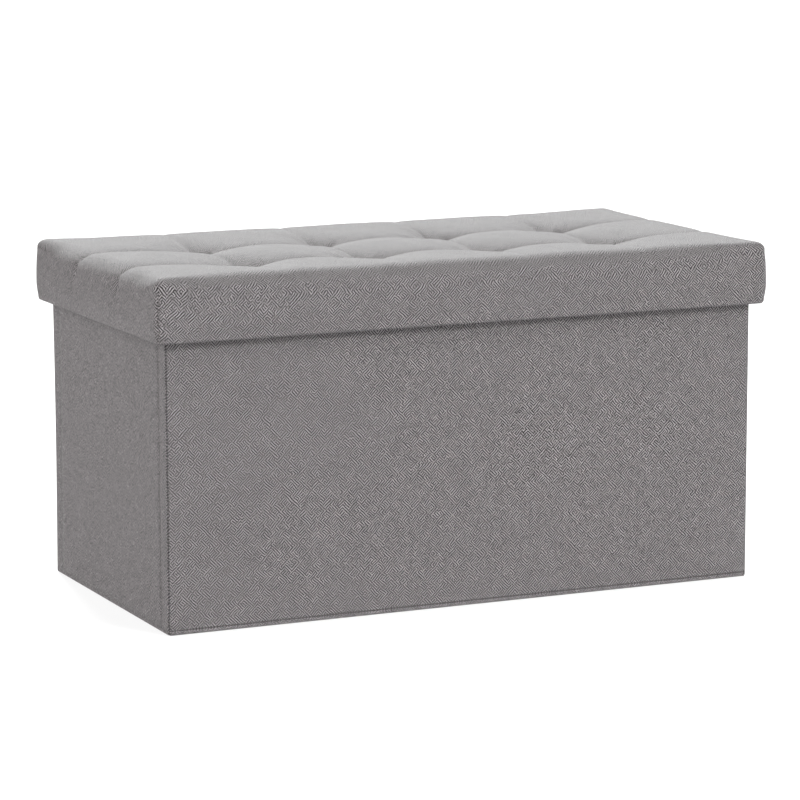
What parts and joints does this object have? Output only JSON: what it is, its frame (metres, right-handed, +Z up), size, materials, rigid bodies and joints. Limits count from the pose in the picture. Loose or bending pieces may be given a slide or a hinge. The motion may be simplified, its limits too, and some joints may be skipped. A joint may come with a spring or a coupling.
{
  "type": "storage bench",
  "caption": "Folding fabric storage bench: a rectangular lined box with a creased fold at each end, a flip-up base and a lift-off tufted seat lid.",
  "frame": {"origin": "centre of the base, on the surface that the bench stands on, below the middle of the overall box", "axes": "+X along the length, +Z up, -Y to the front wall, which carries the base flap's hinge"},
  "size_m": [0.76, 0.4, 0.4],
  "materials": {
    "linen": "mottled mid-grey linen-look twill upholstery fabric, matte",
    "lining": "dark grey nonwoven lining, matte",
    "board": "raw medium-density fibreboard",
    "foam": "cream polyurethane seat foam",
    "thread": "grey bonded sewing thread",
    "ribbon": "dark grey woven ribbon"
  },
  "bodies": {
    "front_wall": {"front_fabric": "linen", "front_board": "board", "front_lining": "lining", "front_bottom_binding": "linen", "front_left_corner_binding": "linen", "front_right_corner_binding": "linen"},
    "left_front_end": {"left_front_end_fabric": "linen", "left_front_end_board": "board", "left_front_end_lining": "lining"},
    "left_rear_end": {"left_rear_end_fabric": "linen", "left_rear_end_board": "board", "left_rear_end_lining": "lining"},
    "right_front_end": {"right_front_end_fabric": "linen", "right_front_end_board": "board", "right_front_end_lining": "lining"},
    "right_rear_end": {"right_rear_end_fabric": "linen", "right_rear_end_board": "board", "right_rear_end_lining": "lining"},
    "rear_wall": {"rear_fabric": "linen", "rear_board": "board", "rear_lining": "lining", "rear_left_corner_binding": "linen", "rear_right_corner_binding": "linen"},
    "base_flap": {"base_underside_cover": "linen", "base_board": "board", "base_top_cover": "lining", "base_pull_ribbon": "ribbon"},
    "lid": {"lid_cover": "linen", "lid_foam": "foam", "lid_board": "board", "lid_lining": "lining", "lid_front_rail": "board", "lid_rear_rail": "board", "lid_left_rail": "board", "lid_right_rail": "board", "lid_tuft_thread_1": "thread", "lid_tuft_thread_2": "thread", "lid_tuft_thread_3": "thread", "lid_tuft_thread_4": "thread", "lid_tuft_thread_5": "thread", "lid_tuft_thread_6": "thread", "lid_tuft_thread_7": "thread", "lid_tuft_thread_8": "thread"}
  },
  "joints": [
    {"name": "lid_lift", "type": "slide", "parent": "front_wall", "child": "lid", "axis": [0, 0, 1], "range_m": [0, 0.42]},
    {"name": "base_flap_lift", "type": "hinge", "parent": "front_wall", "child": "base_flap", "pos_m": [0, -0.1817, 0.004], "axis": [1, 0, 0], "range_deg": [0, 90]},
    {"name": "box_fold", "type": "hinge", "parent": "front_wall", "child": "left_front_end", "pos_m": [-0.362, -0.177, 0.184], "axis": [0, 0, -1], "range_deg": [0, 88]},
    {"name": "left_crease", "type": "hinge", "parent": "left_front_end", "child": "left_rear_end", "pos_m": [-0.367, 0.0025, 0.184], "axis": [0, 0, 1], "range_deg": [0, 176]},
    {"name": "rear_corner", "type": "hinge", "parent": "left_rear_end", "child": "rear_wall", "pos_m": [-0.362, 0.182, 0.184], "axis": [0, 0, -1], "range_deg": [0, 88]},
    {"name": "right_front_corner", "type": "hinge", "parent": "front_wall", "child": "right_front_end", "pos_m": [0.362, -0.177, 0.184], "axis": [0, 0, 1], "range_deg": [0, 88]},
    {"name": "right_crease", "type": "hinge", "parent": "right_front_end", "child": "right_rear_end", "pos_m": [0.367, 0.0025, 0.184], "axis": [0, 0, -1], "range_deg": [0, 176]}
  ],
  "couplings": [
    {"joint": "left_crease", "follows": "box_fold", "ratio": 2},
    {"joint": "rear_corner", "follows": "box_fold", "ratio": 1},
    {"joint": "right_front_corner", "follows": "box_fold", "ratio": 1},
    {"joint": "right_crease", "follows": "box_fold", "ratio": 2}
  ]
}
